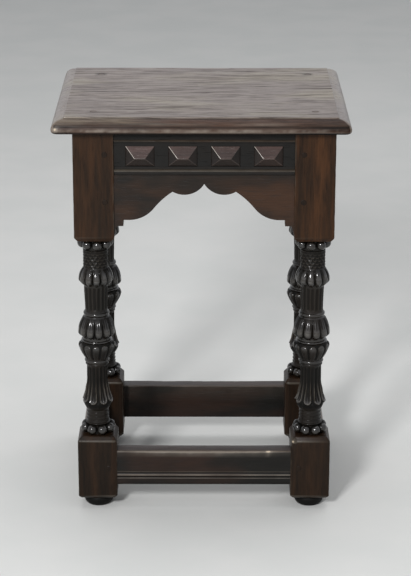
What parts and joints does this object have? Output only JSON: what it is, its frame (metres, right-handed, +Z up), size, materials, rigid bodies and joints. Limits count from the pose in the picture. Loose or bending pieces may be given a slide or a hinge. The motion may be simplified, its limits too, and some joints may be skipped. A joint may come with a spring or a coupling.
{
  "type": "joint stool",
  "caption": "Joined oak stool: a moulded plank top pegged to turned and carved legs, shaped frieze rails with diamond-point bosses, and a low ring of stretchers.",
  "frame": {"origin": "on the floor, under the middle of the top", "axes": "+Z up, -Y to the front of the stool, +X to the right as seen from the front"},
  "size_m": [0.393, 0.331, 0.56],
  "materials": {
    "oak_top": "dark oak, waxed and worn",
    "oak_legs": "nearly black oak, waxed",
    "oak_rails": "dark brown oak, waxed",
    "oak_bosses": "dark oak, waxed",
    "oak_pegs": "dark riven oak"
  },
  "bodies": {
    "root": {"top_board": "oak_top", "leg_front_left": "oak_legs", "leg_front_right": "oak_legs", "leg_back_left": "oak_legs", "leg_back_right": "oak_legs", "rail_front": "oak_rails", "rail_back": "oak_rails", "rail_left": "oak_rails", "rail_right": "oak_rails", "stretcher_front": "oak_rails", "stretcher_back": "oak_rails", "stretcher_left": "oak_rails", "stretcher_right": "oak_rails", "bosses_front": "oak_bosses", "bosses_back": "oak_bosses", "bosses_left": "oak_bosses", "bosses_right": "oak_bosses", "rail_pegs_front": "oak_pegs", "rail_pegs_back": "oak_pegs", "rail_pegs_left": "oak_pegs", "rail_pegs_right": "oak_pegs", "stretcher_pegs_front": "oak_pegs", "stretcher_pegs_back": "oak_pegs", "stretcher_pegs_left": "oak_pegs", "stretcher_pegs_right": "oak_pegs", "top_pegs": "oak_pegs"}
  },
  "joints": []
}
